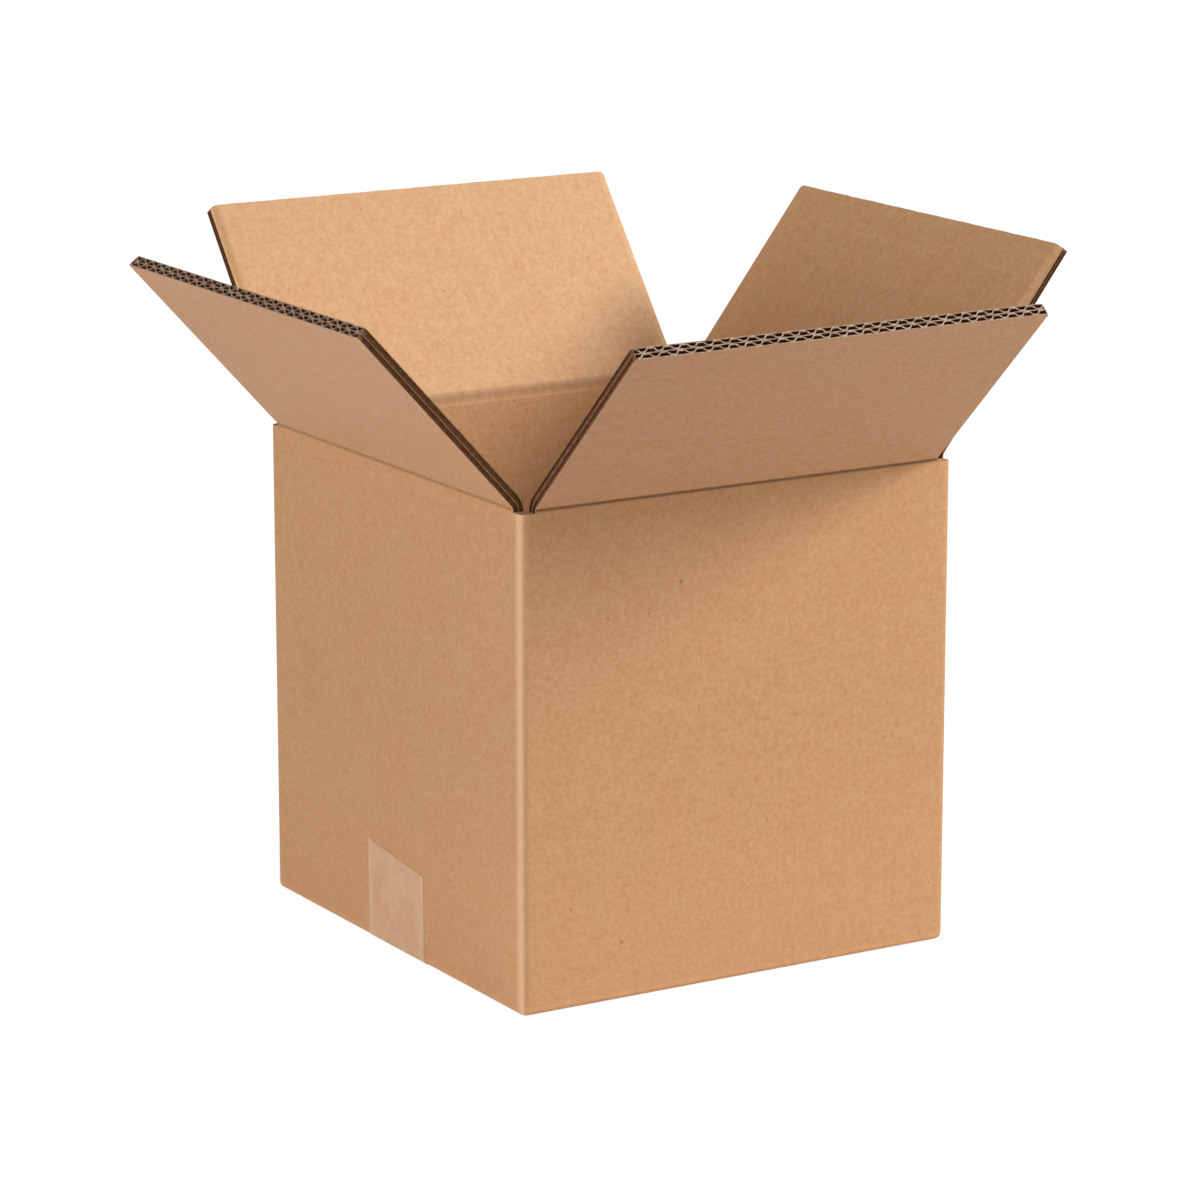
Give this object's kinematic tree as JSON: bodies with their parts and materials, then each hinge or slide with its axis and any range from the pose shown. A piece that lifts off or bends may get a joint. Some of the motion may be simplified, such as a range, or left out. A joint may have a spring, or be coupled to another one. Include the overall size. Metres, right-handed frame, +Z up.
{
  "type": "open cardboard box",
  "caption": "Open slotted carton of double-wall corrugated board with hinged top flaps and a taped bottom, for packing and shipping goods.",
  "frame": {"origin": "middle of the box's foot print, on the lowest face, which is the underside of the sealing tape", "axes": "+X along the front wall, from the taped end seen at the left to the hidden end; +Y from the front wall to the back wall; +Z up"},
  "size_m": [0.3392, 0.3574, 0.2965],
  "materials": {
    "kraft_board": "uncoated kraft liner",
    "clear_tape": "clear film over kraft"
  },
  "bodies": {
    "carton": {"carton_body": "kraft_board", "sealing_tape": "clear_tape"},
    "front_flap": {"front_flap": "kraft_board"},
    "back_flap": {"back_flap": "kraft_board"},
    "left_flap": {"left_flap": "kraft_board"},
    "right_flap": {"right_flap": "kraft_board"}
  },
  "joints": [
    {"name": "front_flap_fold", "type": "hinge", "parent": "carton", "child": "front_flap", "pos_m": [0, -0.1082, 0.20941], "axis": [1, 0, 0], "range_deg": [-136.3, 121.7]},
    {"name": "back_flap_fold", "type": "hinge", "parent": "carton", "child": "back_flap", "pos_m": [0, 0.1082, 0.20932], "axis": [-1, 0, 0], "range_deg": [-128.3, 129.7]},
    {"name": "left_flap_fold", "type": "hinge", "parent": "carton", "child": "left_flap", "pos_m": [-0.1051, 0, 0.20645], "axis": [0, -1, 0], "range_deg": [-132.6, 125.4]},
    {"name": "right_flap_fold", "type": "hinge", "parent": "carton", "child": "right_flap", "pos_m": [0.1051, 0, 0.20631], "axis": [0, 1, 0], "range_deg": [-127.6, 130.4]}
  ]
}
